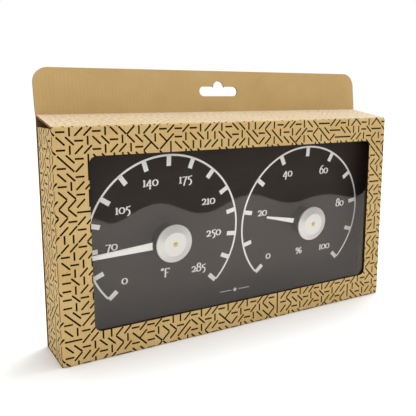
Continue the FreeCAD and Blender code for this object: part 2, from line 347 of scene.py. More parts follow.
def bar(finish, x, y, angle, length):
    """Mask of one printed dash through the origin of x and y."""
    c = math.cos(math.radians(angle))
    s = math.sin(math.radians(angle))
    along = abs(x * c + y * s)
    aside = abs(y * c - x * s)
    ends = ((length / 2 - along) / DASH_SOFT + 0.5).clamped()
    sides = ((DASH_WIDTH / 2 - aside) / DASH_SOFT + 0.5).clamped()
    return ends * sides


def odd_one(number):
    """1 for odd whole numbers, 0 for even ones."""
    half = number * 0.5
    return (half - half.floor()) * 2.0


def swapped(mask, when):
    """The mask, turned round where the second one is set."""
    return mask + when - mask * when * 2.0


def dashes(finish, across, up):
    """Mask of the carton's print: one dash in each cell, level, upright or slanting."""
    slant = math.degrees(math.atan2(PITCH_UP, PITCH_ACROSS))
    column = (across / PITCH_ACROSS).floor()
    row = (up / PITCH_UP).floor()
    x = across - (column + 0.5) * PITCH_ACROSS
    y = up - (row + 0.5) * PITCH_UP
    # two slanting cells, one level and one upright; the next row is shifted by two cells and
    # slants the other way, and now and then a cell breaks the order
    twin = (column * 0.5).floor()
    slanting = 1 - odd_one(twin + row)
    slanting = swapped(slanting, finish.chance(column, row, 11.0) < ODD_SLANTING)
    stand = swapped(odd_one(column), finish.chance(column, row, 7.0) < ODD_STAND)
    lean = swapped(odd_one(row), finish.chance(twin, row, 3.0) < ODD_LEAN)
    level = (1 - slanting) * (1 - stand)
    upright = (1 - slanting) * stand
    rising = slanting * lean
    falling = slanting * (1 - lean)
    short = bar(finish, x, y, 0, DASH_FLAT) * level
    short = short + bar(finish, x, y, 90, DASH_UPRIGHT) * upright
    short = short + bar(finish, x, y, slant, DASH_SLANT) * rising
    short = short + bar(finish, x, y, -slant, DASH_SLANT) * falling
    # now and then two slanting dashes run together through the corner of their cells
    layer = ((row + 1.0) * 0.5).floor()
    pick_long = finish.chance(twin, layer, 19.0)
    long_falling = pick_long < LONG_FALLING
    long_rising = pick_long > 1 - LONG_RISING
    wide_x = across - (twin * 2.0 + 1.0) * PITCH_ACROSS
    wide_y = up - layer * 2.0 * PITCH_UP
    long = bar(finish, wide_x, wide_y, -slant, DASH_LONG) * long_falling
    long = long + bar(finish, wide_x, wide_y, slant, DASH_LONG) * long_rising
    crossed = odd_one(column + row + 1.0)
    return short * (1 - long_falling * crossed - long_rising * (1 - crossed)) + long


KRAFT_LIGHT = shade(201, 174, 120)
KRAFT_DARK = shade(182, 150, 94)
KRAFT_FLECK = shade(128, 90, 50)
KRAFT_FIBRE = shade(236, 204, 150)
PLAIN_TINT = (shade(170, 138, 88), 0.35)     # unprinted face: darker colour and its share
LINER_PAINTED_SHADE = (shade(88, 66, 42), 0.9)        # face turned into the carton, darkened as painted shade of the carton's inside
INK_BROWN = shade(16, 4, 2)


def kraft_paper(finish, place, across):
    """Colour, height and roughness of bare kraft liner: fibres, flecks and faint flute lines."""
    clouds = finish.noise(place, 38.0, 4.0, 0.6)
    fibres = finish.noise(finish.scaled(place, 1.0, 0.25, 1.0), 2600.0, 3.0, 0.6)
    flecks = finish.noise(finish.scaled(place, 1.0, 0.5, 1.0), 900.0, 2.0, 0.5)
    flutes = (across * (2 * math.pi / FLUTE_PITCH)).sine()
    colour = finish.blend((clouds * 1.6 - 0.3).clamped(), KRAFT_DARK, KRAFT_LIGHT)
    colour = finish.blend(((fibres - 0.5) * 1.5).clamped() * 0.35, colour, KRAFT_FIBRE)
    colour = finish.blend(((flecks - 0.66) * 9.0).clamped() * 0.45, colour, KRAFT_FLECK)
    colour = finish.blend((flutes * 0.5 + 0.5) * 0.07, colour, KRAFT_FLECK)
    height = fibres * 0.35 + clouds * 0.3 + flutes * 0.18
    rough = 0.72 + (fibres - 0.5) * 0.3
    return colour, height, rough


def printed_kraft(name, gloss, sheen, ink_shown):
    """Kraft board with the dashes on it; the last argument is how much of the ink shows, and a share below 1
    fades the print as painted glare.
    """
    finish = Finish(name, Specular_IOR_Level=gloss, Sheen_Weight=sheen, Sheen_Roughness=0.35)
    place = finish.blank_place()
    across, up, _ = finish.parts(place)
    colour, height, rough = kraft_paper(finish, place, across)
    ink = dashes(finish, across + DASH_START[0], up + DASH_START[1])
    wear = finish.noise(place, 1900.0, 2.0)
    cover = ink * (1.0 + (wear - 0.5) * 0.3).clamped() * ink_shown
    return finish.skinned(finish.blend(cover, colour, INK_BROWN),
                          rough - 0.08 + cover * 0.15, height, 0.35, 0.00006)


def plain_kraft(name, on_blank, tint=PLAIN_TINT):
    """Unprinted board; on_blank when the piece carries its place on the flat blank."""
    finish = Finish(name, Specular_IOR_Level=0.35)
    place = finish.blank_place() if on_blank else finish.object_place()
    across, _, _ = finish.parts(place)
    colour, height, rough = kraft_paper(finish, place, across)
    tone, share = tint
    deeper = finish.blend(share, colour, tone)
    return finish.skinned(deeper, rough, height, 0.4, 0.00008)


def cut_kraft(name, light, dark):
    """A die-cut edge: two liners with the wave of the flute between them; the hollows between them take the
    dark colour as painted shade.
    """
    finish = Finish(name, Specular_IOR_Level=0.2, Roughness=0.9)
    across, up, depth = finish.parts(finish.blank_place())
    share = depth / (board / mm)
    liner = (abs(share - 0.5) > 0.36)
    wave = ((across + up) * (2 * math.pi / FLUTE_PITCH)).sine() * 0.26
    crest = 1 - (abs(share - 0.5 - wave) > 0.11)
    paper = liner.most(crest)
    fray = finish.noise(finish.blank_place(), 1500.0, 3.0)
    # dark where there is no paper: painted shade in the hollows of the flute
    colour = finish.blend(paper, dark, light)
    colour = finish.blend((fray - 0.4).clamped() * 0.5, colour, dark)
    finish.surface(Base_Color=colour, Normal=finish.bump(paper + fray * 0.4, 0.5, 0.0001))
    return finish.material


def film_finish():
    """Thin clear film: what isn't mirrored goes straight through."""
    finish = Finish("window_film_clear")
    tree = finish.tree
    tree.nodes.remove(finish.shader)
    clear = tree.nodes.new("ShaderNodeBsdfTransparent")
    clear.inputs[0].default_value = (0.965, 0.965, 0.96, 1.0)
    gloss = tree.nodes.new("ShaderNodeBsdfGlossy")
    gloss.inputs["Roughness"].default_value = 0.035
    gloss.inputs["Color"].default_value = (1.0, 0.93, 0.89, 1.0)
    # the same mirror share from either side of the sheet, rising at a slant
    slant = finish.node("ShaderNodeLayerWeight", None, {"Blend": 0.5}, 1)
    mirror = FILM_MIRROR + (1 - FILM_MIRROR) * slant.power(5.0)
    mix = tree.nodes.new("ShaderNodeMixShader")
    tree.links.new(mirror.socket, mix.inputs[0])
    tree.links.new(clear.outputs[0], mix.inputs[1])
    tree.links.new(gloss.outputs[0], mix.inputs[2])
    tree.links.new(mix.outputs[0], finish.output.inputs[0])
    return finish.material


# ---- materials of the instrument

def plate_finish():
    """Black powder coat with a fine tooth and faint brushed streaks under it."""
    finish = Finish("black_powder_coat", Specular_IOR_Level=0.3)
    place = finish.object_place()
    tooth = finish.noise(place, 2400.0, 3.0, 0.6)
    streaks = finish.noise(finish.scaled(place, 0.25, 1.0, 5.0), 130.0, 4.0, 0.6)
    dust = finish.noise(place, 420.0, 2.0)
    colour = finish.blend((streaks * 1.4 - 0.2).clamped(), shade(50, 42, 37), shade(60, 51, 46))
    colour = finish.blend(((dust - 0.72) * 8.0).clamped() * 0.1, colour, shade(90, 84, 80))
    return finish.skinned(colour, 0.62 + (tooth - 0.5) * 0.2, tooth, 0.06, 0.00002)


def print_finish():
    finish = Finish("white_screen_print", Specular_IOR_Level=0.3)
    place = finish.object_place()
    grain = finish.noise(place, 1600.0, 3.0)
    colour = finish.blend(grain, shade(240, 238, 233), shade(252, 251, 248))
    return finish.skinned(colour, 0.5 + (grain - 0.5) * 0.3, grain, 0.15, 0.00003)


def pointer_finish(name, centre, white_past_cap_shadow):
    """White lacquer on the blade, black round the boss and on the counterweight; the black runs on a little
    past the cap's rim as painted shadow of the cap.
    """
    finish = Finish(name, Specular_IOR_Level=0.45)
    place = finish.object_place()
    away = finish.node("ShaderNodeVectorMath", {"operation": "DISTANCE"}, {0: place, 1: centre}, 1) * 1000.0
    # black within this radius: two-tone paint under the cap, and painted shadow of the cap just outside its
    # rim
    white = ((away - white_past_cap_shadow) / 0.25).clamped()
    mottle = finish.noise(place, 700.0, 3.0)
    paint = finish.blend(mottle, shade(240, 238, 233), shade(252, 251, 248))
    colour = finish.blend(white, shade(34, 30, 28), paint)
    return finish.skinned(colour, 0.32 + mottle * 0.12, mottle, 0.12, 0.00004)


def cap_finish(name, centre):
    """Spun aluminium: fine turning rings with rays of brighter and duller metal."""
    finish = Finish(name, Metallic=0.5)
    place = finish.object_place()
    arm = finish.node("ShaderNodeVectorMath", {"operation": "SUBTRACT"}, {0: place, 1: centre})
    radius = finish.node("ShaderNodeVectorMath", {"operation": "LENGTH"}, {0: arm}, 1) * 1000.0
    x, _, z = finish.parts(arm)
    turn = finish.node("ShaderNodeMath", {"operation": "ARCTAN2"}, {0: z, 1: x})
    rays = finish.noise(finish.joined(turn * 3.0, radius * 0.05, 0.0), 9.0, 4.0, 0.7)
    rings = (radius * 18.0).sine()
    smudge = finish.noise(place, 160.0, 3.0)
    colour = finish.blend(rays, shade(224, 221, 216), shade(240, 238, 233))
    return finish.skinned(colour,
                          0.40 + (rays - 0.5) * 0.18 + (smudge - 0.5) * 0.12,
                          rings * 0.4 + rays, 0.18, 0.00005)


def metal_finish(name, light, dark, rough, scale, metallic):
    """Bare metal with fine drawing lines and patches of handling."""
    finish = Finish(name, Metallic=metallic)
    place = finish.object_place()
    lines = finish.noise(finish.scaled(place, 1.0, 1.0, 0.15), scale, 4.0, 0.6)
    patch = finish.noise(place, scale * 0.12, 3.0)
    colour = finish.blend((lines * 0.6 + patch * 0.5).clamped(), dark, light)
    return finish.skinned(colour, rough + (patch - 0.5) * 0.2, lines, 0.15, 0.00004)


# name, light and dark colour, roughness, scale of the drawing lines, share that is metallic
METALS = {
    "steel": ("zinc_plated_steel", shade(205, 206, 208), shade(150, 152, 156), 0.35, 900.0, 1.0),
    "brass": ("turned_brass", shade(240, 204, 110), shade(196, 152, 66), 0.28, 1100.0, 1.0),
    "rivet": ("lacquered_brass", shade(252, 226, 138), shade(228, 190, 96), 0.55, 1100.0, 0.55),
    "black_screw": ("blackened_screw", shade(60, 56, 54), shade(38, 35, 34), 0.5, 900.0, 1.0),
    "temperature_coil": ("bimetal_strip", shade(186, 172, 150), shade(140, 122, 100), 0.35, 1300.0, 1.0),
    "humidity_coil": ("coated_strip", shade(198, 196, 176), shade(150, 148, 128), 0.45, 1300.0, 1.0),
}


def plastic_finish():
    finish = Finish("black_moulded_plastic", Specular_IOR_Level=0.4)
    place = finish.object_place()
    grain = finish.noise(place, 1500.0, 3.0)
    swirl = finish.noise(place, 90.0, 2.0)
    colour = finish.blend(swirl, shade(20, 19, 19), shade(38, 36, 35))
    return finish.skinned(colour, 0.5 + (grain - 0.5) * 0.3, grain, 0.25, 0.00005)


def wood_finish():
    """Oiled board: long grain with growth lines and open pores."""
    finish = Finish("oiled_board", Specular_IOR_Level=0.4)
    place = finish.object_place()
    bend = finish.noise(finish.scaled(place, 1.0, 1.0, 3.0), 14.0, 3.0)
    _, _, up = finish.parts(place)
    rings = ((up * 0.55) + bend * 16.0).sine()
    grain = finish.noise(finish.scaled(place, 0.06, 1.0, 1.0), 1400.0, 4.0, 0.6)
    colour = finish.blend((rings * 0.5 + 0.5), shade(164, 118, 74), shade(140, 94, 55))
    colour = finish.blend(((grain - 0.55) * 4.0).clamped() * 0.5, colour, shade(92, 58, 32))
    return finish.skinned(colour, 0.55 + (grain - 0.5) * 0.3, grain, 0.35, 0.0001)


# ---- mesh helpers

def object_from(name, points, faces, materials, picks=None, blanks=None, smooth=False):
    """A mesh object; picks gives each face's material, blanks each point's place on the flat blank."""
    mesh = bpy.data.meshes.new(name)
    mesh.from_pydata([tuple(p) for p in points], [], faces)
    for material in materials:
        mesh.materials.append(material)
    if picks:
        mesh.polygons.foreach_set("material_index", picks)
    if blanks:
        places = mesh.attributes.new("blank", "FLOAT_VECTOR", "POINT")
        places.data.foreach_set("vector", [number for place in blanks for number in place])
    mesh.polygons.foreach_set("use_smooth", [smooth] * len(mesh.polygons))
    mesh.validate()
    mesh.update()
    made = bpy.data.objects.new(name, mesh)
    bpy.context.scene.collection.objects.link(made)
    return made


def ellipse(x, y, rx, ry, start, end, steps=18):
    """Points on an ellipse, degrees, both ends included."""
    turns = [math.radians(start + (end - start) * i / steps) for i in range(steps + 1)]
    return [(x + rx * math.cos(t), y + ry * math.sin(t)) for t in turns]


def arc(x, y, radius, start, end, steps):
    return ellipse(x, y, radius, radius, start, end, steps)


def rounded_loop(left, right, bottom, top, corner, steps=6, along=10):
    """Anticlockwise rounded rectangle with the same number of points whatever its size."""
    corners = (
        (right - corner, bottom + corner, 270),
        (right - corner, top - corner, 0),
        (left + corner, top - corner, 90),
        (left + corner, bottom + corner, 180),
    )
    loop = []
    for i, (x, y, start) in enumerate(corners):
        curve = arc(x, y, corner, start, start + 90, steps)
        loop += curve
        next_x, next_y, next_start = corners[(i + 1) % 4]
        goal = arc(next_x, next_y, corner, next_start, next_start + 90, steps)[0]
        for k in range(1, along):
            share = k / along
            loop.append((curve[-1][0] + (goal[0] - curve[-1][0]) * share,
                         curve[-1][1] + (goal[1] - curve[-1][1]) * share))
    return loop


def inside(point, loop):
    """Whether a flat point lies in a closed loop."""
    x, y = point
    found = False
    for (x1, y1), (x2, y2) in zip(loop, loop[1:] + loop[:1]):
        if (y1 > y) != (y2 > y) and x < (x2 - x1) * (y - y1) / (y2 - y1) + x1:
            found = not found
    return found


def flat_triangles(outline, holes):
    """Points and triangles that fill an outline and leave its holes open."""
    loops = [outline] + holes
    points = [Vector(p) for loop in loops for p in loop]
    edges = []
    first = 0
    for loop in loops:
        count = len(loop)
        edges += [(first + i, first + (i + 1) % count) for i in range(count)]
        first += count
    made = delaunay_2d_cdt(points, edges, [], 0, 1e-9)
    corners, triangles = made[0], made[2]
    kept = []
    for triangle in triangles:
        middle = sum((corners[i] for i in triangle), Vector((0, 0))) / 3
        if inside(middle, outline) and not any(inside(middle, hole) for hole in holes):
            kept.append(tuple(triangle))
    return [tuple(c) for c in corners], kept


def rectangle(left, right, bottom, top):
    return [(left, bottom), (right, bottom), (right, top), (left, top)]


def slab(name, outline, holes, place, thickness, materials, blank=None):
    """A flat sheet with a thickness; place(u, v, depth) puts its points in space.

    The materials are those of the outer face, the inner face and the cut edge."""
    corners, triangles = flat_triangles(outline, holes)
    count = len(corners)
    points = [place(u, v, depth) for depth in (0.0, thickness) for u, v in corners]
    blanks = None
    if blank:
        blanks = [blank(u, v) + (depth,) for depth in (0.0, thickness) for u, v in corners]
    faces = triangles + [tuple(i + count for i in reversed(t)) for t in triangles]
    picks = [0] * len(triangles) + [1] * len(triangles)
    used = [edge for a, b, c in triangles for edge in ((a, b), (b, c), (c, a))]
    known = set(used)
    for a, b in used:
        if (b, a) not in known:
            faces.append((b, a, a + count, b + count))
            picks.append(2)
    return object_from(name, points, faces, materials, picks, blanks)


def rings_to_object(name, rings, materials, ring_picks, blanks=None, smooth=False):
    """Joins loops of equal length into a closed skin; ring_picks gives each band's material."""
    count = len(rings[0])
    points = [p for ring in rings for p in ring]
    flat_blanks = [b for ring in blanks for b in ring] if blanks else None
    faces = []
    picks = []
    for k in range(len(rings)):
        here = k * count
        there = ((k + 1) % len(rings)) * count
        for i in range(count):
            j = (i + 1) % count
            faces.append((here + i, here + j, there + j, there + i))
            picks.append(ring_picks[k])
    return object_from(name, points, faces, materials, picks, flat_blanks, smooth)


def lathe(name, profile, to_space, materials, steps=96):
    """Turns a closed half profile of (radius, height), millimetres, about the dial's axis."""
    rings = []
    for radius, height in profile:
        ring = []
        for i in range(steps):
            turn = 2 * math.pi * i / steps
            place = Vector((radius * math.cos(turn) * mm, radius * math.sin(turn) * mm, height * mm))
            ring.append(to_space @ place)
        rings.append(ring)
    made = rings_to_object(name, rings, materials, [0] * len(profile), smooth=True)
    sharpen(made, 35)
    return made


def sharpen(piece, degrees):
    """Smooth shading, with edges steeper than this kept sharp."""
    mesh = piece.data
    mesh.polygons.foreach_set("use_smooth", [True] * len(mesh.polygons))
    limit = math.cos(math.radians(degrees))
    sides = {}
    for polygon in mesh.polygons:
        for key in polygon.edge_keys:
            sides.setdefault(key, []).append(polygon.normal)
    sharp = []
    for edge in mesh.edges:
        normals = sides.get(tuple(sorted(edge.vertices)), [])
        sharp.append(len(normals) != 2 or normals[0].dot(normals[1]) < limit)
    marks = mesh.attributes.get("sharp_edge") or mesh.attributes.new("sharp_edge", "BOOLEAN", "EDGE")
    marks.data.foreach_set("value", sharp)


def facing_out(piece):
    """Turns every face of a closed skin outwards."""
    work = bmesh.new()
    work.from_mesh(piece.data)
    bmesh.ops.remove_doubles(work, verts=work.verts, dist=1e-7)
    bmesh.ops.recalc_face_normals(work, faces=work.faces)
    work.to_mesh(piece.data)
    work.free()
    return piece


def fit(piece, body, slot, *nodes):
    """Sets a finished piece on its body, in place of its CAD nodes."""
    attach(piece, body)
    if nodes:
        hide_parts(*nodes)
    return piece


# ---- carton pieces

def window_loop(grow=0.0):
    border = (FILM_BORDER - grow) * mm
    return rounded_loop(film_low.x + border, film_high.x - border, film_low.z + border, film_high.z - border,
                        (WINDOW_CORNER + grow) * mm, along=24)


def front_board(board_looks):
    """Front panel with the window; its four outer edges roll over into the folds."""
    fold = FOLD * mm
    window = window_loop()

    def outer_loop(offset):
        corner = max(CARTON_CORNER * mm + fold - offset, 0.05 * mm)
        return rounded_loop(front_low.x + offset, front_high.x - offset, front_low.z + offset,
                            front_high.z - offset, corner, along=24)

    rings, blanks, picks = [], [], []

    def add(loop, y, blank_loop, depth, pick):
        rings.append([Vector((x, y, z)) for x, z in loop])
        blanks.append([(x, z, depth) for x, z in blank_loop])
        picks.append(pick)

    flat = outer_loop(fold)
    for k in range(4):
        share = k / 3
        loop = [(a[0] + (b[0] - a[0]) * share, a[1] + (b[1] - a[1]) * share) for a, b in zip(window, flat)]
        add(loop, front_low.y, loop, 0.0, 0)
    for k in range(1, 7):
        turn = math.pi / 2 * k / 6
        loop = outer_loop(fold - fold * math.sin(turn))
        blank = outer_loop(fold - fold * turn)
        add(loop, front_low.y + fold - fold * math.cos(turn), blank, 0.0, 0)
    picks[-1] = 1
    outer = outer_loop(0.0)
    add(outer_loop(board), front_high.y, outer, board, 1)
    add(window, front_high.y, window, board, 2)
    made = rings_to_object("front_board", rings, board_looks, picks, blanks)
    facing_out(made)
    sharpen(made, 30)
    return fit(made, "carton", "kraft_print", "front_panel")


FOLD_STRETCH = (math.pi / 2 - 1) * FOLD * mm     # extra length of liner that a fold takes up


def lid_board(board_looks):
    """Top panel, rising from the front's upper fold to the rear crease."""
    start = Vector((0, front_high.y, front_high.z))
    end = Vector((0, back_low.y, back_high.z))
    along = (end - start).normalized()
    out = Vector((0, -along.z, along.y))
    length = (end - start).length

    def place(u, v, depth):
        return start + along * v - out * depth + Vector((u, 0, 0))

    def blank(u, v):
        return (u, front_high.z + FOLD_STRETCH + v)

    outline = rectangle(lid_low.x, lid_high.x, 0, length)
    made = slab("lid_board", outline, [], place, board, board_looks, blank)
    return fit(made, "carton", "kraft_print", "top_panel")


def floor_board(board_looks):
    def place(u, v, depth):
        return Vector((u, floor_low.y - v, floor_low.z + depth))

    def blank(u, v):
        return (u, front_low.z - FOLD_STRETCH + v)

    depth = floor_high.y - floor_low.y
    outline = rectangle(floor_low.x, floor_high.x, -depth, 0)
    made = slab("floor_board", outline, [], place, board, board_looks, blank)
    return fit(made, "carton", "kraft_print", "bottom_panel")


def back_board(board_looks):
    def place(u, v, depth):
        return Vector((u, back_high.y - depth, v))

    def blank(u, v):
        return (-u, v)

    outline = rectangle(back_low.x, back_high.x, back_low.z, back_high.z)
    made = slab("back_board", outline, [], place, board, board_looks, blank)
    facing_out(made)
    return fit(made, "carton", "kraft_print", "back_panel")


def header_outline():
    """Front view of the header: square at the crease, round at its upper corners."""
    left, right = header_low.x, header_high.x
    corner = HEADER_CORNER * mm
    height = header_length()
    points = [(left, 0), (right, 0)]
    points += arc(right - corner, height - corner, corner, 0, 90, 10)
    points += arc(left + corner, height - corner, corner, 90, 180, 10)
    return points


def header_length():
    """Height of the header measured along its own slope."""
    rise = header_high.z - header_low.z
    return math.hypot(rise, header_high.y - back_high.y)


def slot_outline():
    """Long round-ended slot with a bump over its middle."""
    low = header_length() - SLOT_BELOW_TOP * mm
    radius = SLOT_HEIGHT / 2 * mm
    end = SLOT_WIDTH / 2 * mm - radius
    top = low + 2 * radius
    bump = SLOT_BUMP_WIDTH / 2 * mm
    bump_top = top + SLOT_BUMP_HEIGHT * mm
    points = arc(end, low + radius, radius, -90, 90, 10)
    points += [(bump, top)]
    points += arc(0, bump_top - bump, bump, 0, 180, 12)
    points += [(-bump, top)]
    points += arc(-end, low + radius, radius, 90, 270, 10)
    return points


def header_board(board_looks):
    """Unprinted hanging header, leaning back from the rear crease."""
    rise = header_high.z - header_low.z
    lean = math.atan2(header_high.y - back_high.y, rise)
    up = Vector((0, math.sin(lean), math.cos(lean)))
    rear = Vector((0, math.cos(lean), -math.sin(lean)))
    foot = Vector((0, back_low.y, back_high.z))

    def place(u, v, depth):
        return foot + up * v + rear * depth + Vector((u, 0, 0))

    def blank(u, v):
        return (u, back_high.z + v)

    made = slab("header_board", header_outline(), [slot_outline()], place, board, board_looks, blank)
    facing_out(made)
    return fit(made, "carton", "kraft_plain", "hang_header")


def end_board(side, board_looks):
    """End wall; its print carries on round the fold from the front."""
    name = "left" if side < 0 else "right"
    low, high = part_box(name + "_end_flap")
    wall = low.x if side < 0 else high.x

    def place(u, v, depth):
        return Vector((wall - side * depth, low.y + u, v))

    def blank(u, v):
        return (wall + side * (FOLD_STRETCH + u), v)

    deep = high.y - low.y
    outline = rectangle(0, deep, low.z, high.z)
    made = slab(name + "_end_board", outline, [], place, board, board_looks, blank)
    facing_out(made)
    return fit(made, name + "_end", "kraft_print", name + "_end_flap")


def window_film(film_look):
    """Thin film behind the window, gently bowed where it hangs free."""
    columns, rows = 72, 36
    sheet = FILM_SHEET * mm
    inset = FILM_BORDER * mm
    reach = FILM_REACH * mm

    def bow(x, z):
        free_x = min(x - film_low.x, film_high.x - x) - inset
        free_z = min(z - film_low.z, film_high.z - z) - inset
        share = max(0.0, min(1.0, min(free_x, free_z) / reach))
        fade = share * share * (3 - 2 * share)
        tight = max(WAVE_LEAST, WAVE_HEIGHT - WAVE_FALL * x)
        roll = max(0.0, x) * WAVE_ROLL - tight * math.cos(WAVE_ACROSS * (x - WAVE_CENTRE[0]))
        wave = roll * math.sin(WAVE_UP * (z - WAVE_CENTRE[1]))
        wave += RIPPLE_HEIGHT * math.sin(x * RIPPLE_ACROSS + z * RIPPLE_UP + RIPPLE_START)
        return fade * (FILM_BULGE + 0.8 * wave) * FILM_WAVE * mm

    points = []
    for layer in range(2):
        for j in range(rows + 1):
            for i in range(columns + 1):
                x = film_low.x + (film_high.x - film_low.x) * i / columns
                z = film_low.z + (film_high.z - film_low.z) * j / rows
                points.append((x, film_low.y + layer * sheet + bow(x, z), z))
    wide = columns + 1
    layer_size = wide * (rows + 1)
    faces = []
    for j in range(rows):
        for i in range(columns):
            a = j * wide + i
            b = a + layer_size
            faces.append((a, a + 1, a + 1 + wide, a + wide))
            faces.append((b, b + wide, b + 1 + wide, b + 1))
    rim = list(range(wide))
    rim += [j * wide + columns for j in range(1, rows + 1)]
    rim += [rows * wide + i for i in range(columns - 1, -1, -1)]
    rim += [j * wide for j in range(rows - 1, 0, -1)]
    for a, b in zip(rim, rim[1:] + rim[:1]):
        faces.append((b, a, a + layer_size, b + layer_size))
    made = object_from("clear_film", points, faces, [film_look], smooth=True)
    facing_out(made)
    sharpen(made, 40)
    return fit(made, "carton", "film", "window_film")


# ---- dial frame

def dial_space(name):
    """Turns dial coordinates into space: X right, Y up the plate, Z out of its face."""
    joint = joints[name + "_pointer_turn"]
    axis = Vector(joint["axis"]).normalized()
    out = -axis
    right = Vector((1, 0, 0))
    up = out.cross(right)
    face = max(v.co.dot(out) for v in frame["nodes"]["dial_plate"].data.vertices)
    anchor = Vector(joint["pos_m"])
    origin = anchor + out * (face - anchor.dot(out))
    return Matrix((
        (right.x, up.x, out.x, origin.x),
        (right.y, up.y, out.y, origin.y),
        (right.z, up.z, out.z, origin.z),
        (0, 0, 0, 1),
    ))


# ---- figures

def pen(points, thick, thin):
    """Outline of a pen stroke: thick where it runs upright, thin where it runs level."""
    left, right = [], []
    for i, (x, y) in enumerate(points):
        x0, y0 = points[max(i - 1, 0)]
        x1, y1 = points[min(i + 1, len(points) - 1)]
        length = math.hypot(x1 - x0, y1 - y0) or 1e-9
        dx, dy = (x1 - x0) / length, (y1 - y0) / length
        half = (thin + (thick - thin) * abs(dy) ** 1.3) / 2
        left.append((x - dy * half, y + dx * half))
        right.append((x + dy * half, y - dx * half))
    return left, right


THICK = 0.245
THIN = 0.115

# strokes of each figure in units of its x-height, and its width
FIGURES = {
    "0": (0.98, [ellipse(0.49, 0.5, 0.39, 0.43, 0, 360, 32)]),
    "1": (0.56, [[(0.29, 0.02), (0.29, 0.98)], [(0.10, 0.82), (0.20, 0.88), (0.29, 0.98)],
                 [(0.06, 0.04), (0.52, 0.04)]]),
    "2": (0.88, [ellipse(0.40, 0.66, 0.29, 0.29, 170, -30) + [(0.40, 0.22), (0.10, 0.05)],
                 [(0.06, 0.07), (0.45, 0.07), (0.82, 0.10), (0.84, 0.22)]]),
    "4": (0.96, [[(0.62, 0.98), (0.06, 0.12)], [(0.04, 0.12), (0.92, 0.12)], [(0.64, 0.98), (0.64, -0.42)]]),
    "5": (0.82, [[(0.26, 0.96), (0.60, 0.98), (0.78, 1.08)], [(0.26, 0.98), (0.20, 0.52)],
                 [(0.20, 0.52)] + ellipse(0.32, 0.12, 0.37, 0.44, 82, -95)]),
    "6": (0.92, [ellipse(0.46, 0.45, 0.36, 0.41, 0, 360, 32),
                 [(0.10, 0.46), (0.14, 0.85), (0.32, 1.18), (0.60, 1.40), (0.76, 1.46)]]),
    "7": (0.86, [[(0.06, 0.86), (0.10, 0.94), (0.46, 0.92), (0.80, 0.97)],
                 [(0.80, 0.97), (0.52, 0.45), (0.32, -0.40)]]),
    "8": (0.90, [ellipse(0.45, 0.38, 0.36, 0.36, 0, 360, 32), ellipse(0.45, 1.06, 0.28, 0.33, 0, 360, 32)]),
    "F": (1.05, [[(0.32, 0.02), (0.32, 1.40)], [(0.20, 1.38), (0.96, 1.38), (0.98, 1.18)],
                 [(0.32, 0.72), (0.84, 0.72)], [(0.16, 0.04), (0.52, 0.04)]]),
    "o": (0.42, [ellipse(0.22, 1.30, 0.15, 0.15, 0, 360, 20)]),
    "%": (1.50, [ellipse(0.36, 0.84, 0.22, 0.26, 0, 360, 24), ellipse(1.12, 0.28, 0.22, 0.26, 0, 360, 24),
                 [(0.28, -0.06), (1.20, 1.18)]]),
}


class Print:
    """Collects flat printed shapes and raises them into one thin mesh."""

    def __init__(self):
        self.points = []
        self.faces = []

    def strip(self, left, right, closed=False):
        """A ribbon between two rows of points, as a closed skin one ink layer thick."""
        first = len(self.points)
        count = len(left)
        for height in (-INK, INK):
            self.points += [(x, y, height) for x, y in left]
            self.points += [(x, y, height) for x, y in right]
        low_left, low_right = first, first + count
        top_left, top_right = first + 2 * count, first + 3 * count
        for i in range(count if closed else count - 1):
            j = (i + 1) % count
            self.faces.append((top_left + i, top_right + i, top_right + j, top_left + j))
            self.faces.append((low_left + i, low_left + j, low_right + j, low_right + i))
            self.faces.append((low_left + i, top_left + i, top_left + j, low_left + j))
            self.faces.append((low_right + i, low_right + j, top_right + j, top_right + i))
        if not closed:
            last = count - 1
            self.faces.append((low_left, low_right, top_right, top_left))
            self.faces.append((low_left + last, top_left + last, top_right + last, low_right + last))

    def label(self, text, x, y):
        """Figures in a row, their x-height middle at x and y."""
        at = x - label_width(text) / 2
        for character in text:
            advance, strokes = FIGURES[character]
            for stroke in strokes:
                ring = stroke[0] == stroke[-1] or math.dist(stroke[0], stroke[-1]) < 1e-6
                path = stroke[:-1] if ring else stroke
                left, right = pen_ring(path) if ring else pen(path, THICK, THIN)
                sides = [[(at + px * X_HEIGHT, y + (py - 0.5) * X_HEIGHT) for px, py in row]
                         for row in (left, right)]
                self.strip(sides[0], sides[1], ring)
            at += advance * X_HEIGHT

    def build(self, name, space, look):
        points = [space @ (Vector(p) * mm) for p in self.points]
        made = object_from(name, points, self.faces, [look])
        facing_out(made)
        return fit(made, "instrument", "black_plate")


def pen_ring(path):
    """Pen stroke round a closed path."""
    count = len(path)
    around = path[-1:] + path + path[:1]
    left, right = pen(around, THICK, THIN)
    return left[1:count + 1], right[1:count + 1]


def label_width(text):
    return sum(FIGURES[character][0] for character in text) * X_HEIGHT


def label_place(text, degrees, at_end):
    """Middle of a figure: towards its tick, or on the foot line at either end of the scale."""
    half_width = label_width(text) / 2
    half_height = X_HEIGHT / 2
    across = math.cos(math.radians(degrees))
    up = math.sin(math.radians(degrees))
    if at_end:
        reach = math.sqrt(LABEL_CIRCLE ** 2 - (LABEL_FOOT + half_height) ** 2) - half_width
        return math.copysign(reach, across), -LABEL_FOOT
    lean = abs(across) * half_width + abs(up) * half_height
    spare = LABEL_CIRCLE ** 2 - half_width ** 2 - half_height ** 2
    radius = math.sqrt(lean ** 2 + spare) - lean
    return radius * across, radius * up + LABEL_RISE


